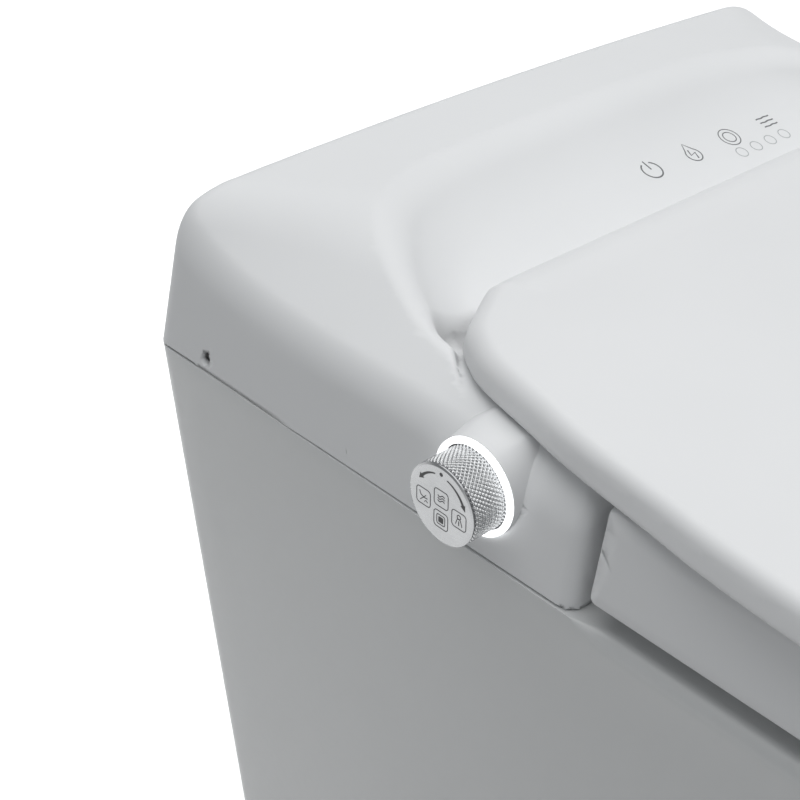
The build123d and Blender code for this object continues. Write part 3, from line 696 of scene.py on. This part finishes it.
def turned(name, profile, count, material, body, replaces=(), closed=True, sharp=35, radius=None):
    """A turned piece about the knob's axis from (x, r) points; radius may vary it round the axis."""
    rows = []
    for k, (x, r) in enumerate(profile):
        t = np.linspace(0, 2 * math.pi, count, endpoint=False)
        rr = np.full(count, r) if radius is None else radius(k, x, r, t)
        y, z = KNOB_Y + rr * np.cos(t), KNOB_Z + rr * np.sin(t)
        rows.append(np.stack([np.full(count, x), y, z], axis=1))
    points, faces = stitch(rows, closed)
    if not closed:
        faces.append(tuple(range(count)))
        faces.append(tuple((len(rows) - 1) * count + i for i in range(count))[::-1])
    return make_object(name, points, faces, material, body, replaces, sharp=sharp)


ROUND = 128
BOSS_ROOT = LIGHT_X + 14.5
BOSS_TOP = DECK + 43.4 - KNOB_Z  # the boss is cut flat under the lid


def under_lid(k, x, r, t):
    up = np.sin(t)
    return np.minimum(r, np.where(up > 0.1, BOSS_TOP / np.maximum(up, 0.1), 99.0))


turned(
    "knob_boss",
    [
        (LIGHT_X + 1.5, 16.2), (LIGHT_X + 1.5, 17.7), (LIGHT_X + 1.7, 18.0), (LIGHT_X + 2.2, 18.2),
        (BOSS_ROOT, 20.6), (BOSS_ROOT + 8, 20.6), (BOSS_ROOT + 8, 16.2),
    ],
    ROUND, looks["housing_plastic"], "base", ["knob_collar"], radius=under_lid,
)
turned(
    "knob_glow",
    [
        (LIGHT_X + 1.5, 15.8), (LIGHT_X + 0.4, 15.8), (LIGHT_X, 16.1),
        (LIGHT_X, 17.5), (LIGHT_X + 0.4, 17.95), (LIGHT_X + 1.5, 18.0),
    ],
    ROUND, looks["light"], "base", ["knob_light_ring"],
)
KNURLS = 56
KNURL_PITCH = 2.0
KNURL_DEPTH = 0.75
knurl_x = np.linspace(FACE_X + 1.9, FACE_X + 17.5, 74)


def knurl(k, x, r, t):
    """Two crossing sets of grooves, cut into the sleeve's outer radius only."""
    if r < 15.0:
        return np.full(len(t), r)
    pitch = 2 * math.pi / KNURLS
    along = (x - FACE_X) / KNURL_PITCH
    one = 1 - 2 * np.abs((t / pitch + along) % 1.0 - 0.5)
    two = 1 - 2 * np.abs((t / pitch - along) % 1.0 - 0.5)
    return r - KNURL_DEPTH + KNURL_DEPTH * np.minimum(1.0, 1.35 * np.minimum(one, two))


profile = [(FACE_X + 19.0, 12.8), (FACE_X + 17.9, 14.6)]
profile += [(x, 15.25) for x in knurl_x[::-1]]
profile += [(FACE_X + 1.5, 14.4), (FACE_X + 1.2, 13.6), (FACE_X + 1.2, 5.0)]
profile += [(FACE_X + 6.0, 5.0), (FACE_X + 6.0, 12.8)]
turned(
    "knob_knurled_sleeve", profile, KNURLS * 8, sleeve_metal, "knob", ["knob_sleeve"],
    sharp=80, radius=knurl,
)


def serrate(k, x, r, t):
    """Square teeth, cut into the groove's outer radius only."""
    return np.full(len(t), r) if r < 14 else r - 0.35 * (np.arange(len(t)) % 4 < 2)


# the teeth are the groove's shape; its dark colour is painted shade
turned(
    "knob_serrated_groove",
    [(FACE_X + 1.7, 13.2), (FACE_X + 1.7, 14.9), (FACE_X + 1.0, 14.9), (FACE_X + 1.0, 13.2)],
    KNURLS * 4, groove_painted_shade, "knob", radius=serrate,
)
turned(
    "knob_front_disc",
    [
        (FACE_X + 1.3, 14.7), (FACE_X + 0.75, 15.15), (FACE_X + 0.35, 15.1),
        (FACE_X, 14.4), (FACE_X, 9.0), (FACE_X, 2.0),
    ],
    160, looks["knob_metal"], "knob", ["knob_face"], closed=False, sharp=20,
)

# ---- printed marks ----------------------------------------------------------------------------


SUNK = 0.05  # how far a mark reaches under the surface it lies on
PANEL_RISE = 0.06  # how far the panel's symbols stand over it
RISE = 0.05  # the same for the lamps' rings and the knob's symbols


def circle(cx, cy, r, a0=0.0, a1=360.0, count=40):
    t = np.radians(np.linspace(a0, a1, count))
    return np.stack([cx + r * np.cos(t), cy + r * np.sin(t)], axis=1)


def round_square(cx, cy, half, corner):
    out = []
    reach = half - corner
    for k, (sx, sy) in enumerate(((1, 1), (-1, 1), (-1, -1), (1, -1))):
        out.append(circle(cx + sx * reach, cy + sy * reach, corner, 90 * k, 90 * k + 90, 7))
    pts = np.vstack(out)
    return np.vstack([pts, pts[:1]])


def stroke(path, width, place, height):
    """A flat line along a 2-D path: points and faces on the surface that place gives."""
    p = np.asarray(path, float)
    along = np.gradient(p, axis=0)
    if np.allclose(p[0], p[-1]):
        along[0] = along[-1] = p[1] - p[-2]
    along /= np.maximum(np.linalg.norm(along, axis=1), 1e-9)[:, None]
    w = np.broadcast_to(np.asarray(width, float), (len(p),))[:, None] / 2
    across = np.stack([-along[:, 1], along[:, 0]], axis=1)
    a, b = p + across * w, p - across * w
    rows = [place(a, -SUNK), place(a, height), place(b, height), place(b, -SUNK)]
    n = len(p)
    points = np.vstack(rows)
    faces = []
    for r in range(4):
        s = (r + 1) % 4
        for i in range(n - 1):
            faces.append((r * n + i, r * n + i + 1, s * n + i + 1, s * n + i))
    faces.append((0, n, 2 * n, 3 * n))
    faces.append((n - 1, 4 * n - 1, 3 * n - 1, 2 * n - 1))
    return points, faces


def filled(outline, place, height):
    """A flat filled shape on the surface that place gives."""
    p = np.asarray(outline, float)
    n = len(p)
    points = np.vstack([place(p, -SUNK), place(p, height)])
    faces = [tuple(range(n))[::-1], tuple(range(n, 2 * n))]
    faces += [(i, (i + 1) % n, n + (i + 1) % n, n + i) for i in range(n)]
    return points, faces


def marks(name, shapes, material, body):
    """Several strokes and filled shapes as one object."""
    points, faces, base = [], [], 0
    for p, f in shapes:
        points.append(p)
        faces += [tuple(i + base for i in face) for face in f]
        base += len(p)
    return make_object(name, np.vstack(points), faces, material, body, smooth=False)


def on_panel(p, height):
    """Points of the panel, given as X and the distance from the rear, raised off its slope."""
    yr = p[:, 1]
    c, s = math.cos(PANEL_SLOPE), math.sin(PANEL_SLOPE)
    return np.stack([p[:, 0], REAR + yr - height * s, DECK + panel_height(yr) + height * c], axis=1)


ICON_Y = -93.4
LINE = 0.7
power = [
    stroke(circle(3.6, ICON_Y, 4.9, 118, 422), LINE, on_panel, PANEL_RISE),
    stroke([(3.6, ICON_Y + 0.4), (3.6, ICON_Y + 3.0), (3.6, ICON_Y + 6.0)], LINE, on_panel, PANEL_RISE),
]
drop_t = np.radians(np.linspace(50, -230, 36))
drop = np.vstack([
    [31.0, ICON_Y + 6.4],
    np.stack([31.0 + 4.0 * np.cos(drop_t), ICON_Y - 1.2 + 4.0 * np.sin(drop_t)], axis=1),
    [31.0, ICON_Y + 6.4],
])
bolt = [(30.4, ICON_Y + 2.2), (29.3, ICON_Y - 1.1), (32.7, ICON_Y - 0.3), (31.4, ICON_Y - 3.8)]
drops = [stroke(drop, LINE * 0.8, on_panel, PANEL_RISE), stroke(bolt, LINE, on_panel, PANEL_RISE)]
rings = [
    stroke(circle(57.9, ICON_Y, 5.3), LINE * 0.7, on_panel, PANEL_RISE),
    stroke(circle(57.9, ICON_Y, 3.2), LINE * 0.7, on_panel, PANEL_RISE),
]
waves = []
for k in (-2.8, 0.0, 2.8):
    t = np.linspace(-1, 1, 24)
    path = np.stack([85.8 + 4.6 * t, ICON_Y + k + 0.15 * np.sin(t * math.pi * 2)], axis=1)
    waves.append(stroke(path, LINE, on_panel, PANEL_RISE))
fifth = [
    stroke(round_square(113.4, ICON_Y, 5.0, 2.0), LINE * 0.7, on_panel, PANEL_RISE),
    stroke(circle(113.4, ICON_Y - 0.4, 2.7, 20, 340, 30), LINE * 0.7, on_panel, PANEL_RISE),
]
marks("panel_symbols", power + drops + rings + waves + fifth, ink, "base")
leds = [stroke(circle(54.9 + 10.5 * k, -103.4, 2.9), 0.45, on_panel, RISE) for k in range(4)]
marks("panel_level_rings", leds, faint_ink, "base")


def on_face(p, height):
    """Points of the knob's face as seen from its side: first to the front, second up."""
    return np.stack([np.full(len(p), FACE_X - height), KNOB_Y - p[:, 0], KNOB_Z + p[:, 1]], axis=1)


THIN = 0.32
FINE = 0.34
ARC_R = 11.6
face_marks = []
places = {"rear": (-8.2, -0.9), "air": (0.2, 2.6), "stop": (0.2, -6.0), "front": (8.6, -1.4)}
for cx, cy in places.values():
    face_marks.append(stroke(round_square(cx, cy, 3.3, 1.3), THIN, on_face, RISE))
cx, cy = places["stop"]
face_marks.append(stroke(round_square(cx, cy, 1.9, 0.7), THIN, on_face, RISE))
face_marks.append(filled(round_square(cx, cy, 1.15, 0.25)[:-1], on_face, RISE))
cx, cy = places["air"]
for k in (-1.1, 0.0, 1.1):
    t = np.linspace(-1, 1, 16)
    wave = np.stack([cx + 1.6 * t, cy + k * 0.9 + 0.45 * np.sin(t * math.pi)], axis=1)
    face_marks.append(stroke(wave, 0.36, on_face, RISE))
cx, cy = places["rear"]
for path in (
    [(cx - 1.9, cy + 1.7), (cx - 1.2, cy + 0.2), (cx + 0.2, cy - 0.3), (cx + 1.9, cy - 0.2)],
    [(cx - 1.6, cy - 1.9), (cx - 0.2, cy - 0.6), (cx + 1.2, cy + 1.0)],
    [(cx + 0.4, cy - 1.9), (cx + 1.2, cy - 1.1), (cx + 2.0, cy - 1.8)],
):
    face_marks.append(stroke(path, FINE, on_face, RISE))
cx, cy = places["front"]
face_marks.append(stroke(circle(cx, cy + 1.3, 0.8, 0, 360, 18), FINE, on_face, RISE))
legs = [(cx - 1.5, cy - 2.0), (cx - 0.7, cy + 0.4), (cx + 0.7, cy + 0.4), (cx + 1.5, cy - 2.0)]
face_marks.append(stroke(legs, FINE, on_face, RISE))
face_marks.append(stroke([(cx, cy - 0.3), (cx, cy - 1.2), (cx, cy - 2.1)], 0.4, on_face, RISE))
for start, stop in ((104, 140), (76, 28)):
    arc = circle(0, 0, ARC_R, start, stop, 22)
    taper = np.linspace(0.45, 1.1, 22)
    face_marks.append(stroke(arc, taper, on_face, RISE))
    end = math.radians(stop)
    turn = math.radians(stop + (90 if stop > start else -90))
    tip = np.array([
        ARC_R * math.cos(end) + 2.3 * math.cos(turn),
        ARC_R * math.sin(end) + 2.3 * math.sin(turn),
    ])
    wing = np.array([math.cos(end), math.sin(end)]) * 1.15
    base = np.array([ARC_R * math.cos(end), ARC_R * math.sin(end)])
    face_marks.append(filled([tip, base + wing, base - wing], on_face, RISE))
face_marks.append(filled(circle(0, 12.2, 0.75, 0, 345, 16), on_face, RISE))
marks("knob_symbols", face_marks, black_ink, "knob")

# ---- stage, light and camera ------------------------------------------------------------------

FLOOR = 9  # half the floor's side, in metres
floor_mesh = bpy.data.meshes.new("floor")
corners = [(-FLOOR, -FLOOR, 0), (FLOOR, -FLOOR, 0), (FLOOR, FLOOR, 0), (-FLOOR, FLOOR, 0)]
floor_mesh.from_pydata(corners, [], [(0, 1, 2, 3)])
floor = bpy.data.objects.new("floor", floor_mesh)
floor.location.z = -0.0004
bpy.context.scene.collection.objects.link(floor)
floor_mat, nodes, links, shader, coords = new_material("floor_pale")
pale = noise(nodes, links, coords, 3.0).outputs["Fac"]
bright = tint(nodes, links, pale, (0.88, 0.88, 0.88), (0.91, 0.91, 0.91))
links.new(bright, shader.inputs["Base Color"])
shader.inputs["Roughness"].default_value = 0.9
shader.inputs["Specular IOR Level"].default_value = 0.0
shader.inputs["Emission Color"].default_value = (1, 1, 1, 1)
shader.inputs["Emission Strength"].default_value = 0.75
# the floor throws less light back on the object than it shows to the camera
bounce = nodes.new("ShaderNodeBsdfDiffuse")
dim = tint(nodes, links, pale, (0.26, 0.26, 0.26), (0.29, 0.29, 0.29))
links.new(dim, bounce.inputs["Color"])
seen = nodes.new("ShaderNodeLightPath")
mixed = nodes.new("ShaderNodeMixShader")
links.new(seen.outputs["Is Diffuse Ray"], mixed.inputs[0])
links.new(shader.outputs[0], mixed.inputs[1])
links.new(bounce.outputs[0], mixed.inputs[2])
links.new(mixed.outputs[0], nodes["Material Output"].inputs[0])
floor_mesh.materials.append(floor_mat)

scene = bpy.context.scene
world = bpy.data.worlds.new("studio")
scene.world = world
world.use_nodes = True
background = world.node_tree.nodes["Background"]
background.inputs["Color"].default_value = (0.93, 0.97, 1.0, 1)
background.inputs["Strength"].default_value = 0.27


def area_light(name, place, target, size, power, colour=(1, 1, 1)):
    data = bpy.data.lights.new(name, "AREA")
    data.shape = "RECTANGLE"
    data.size, data.size_y = size
    data.energy = power
    data.color = colour
    obj = bpy.data.objects.new(name, data)
    bpy.context.scene.collection.objects.link(obj)
    direction = np.array(target) - np.array(place)
    obj.location = place
    obj.rotation_euler = Vector(direction).to_track_quat("-Z", "Y").to_euler()


area_light("overhead", (0.30, 0.15, 2.3), (0, 0.05, 0.4), (3.0, 3.0), 44.5)
area_light("side_left", (-2.6, 0.6, 1.5), (0, 0.1, 0.35), (1.6, 1.6), 1.0)

camera_data = bpy.data.cameras.new("camera")
camera = bpy.data.objects.new("camera", camera_data)
scene.collection.objects.link(camera)
camera_data.sensor_width = 36.0
camera_data.lens = 67.28
camera.location = (-0.4804, -0.1748, 0.7040)
camera.rotation_euler = (math.radians(56.89), 0.0, math.radians(-41.76))
scene.camera = camera
scene.view_settings.view_transform = "Standard"
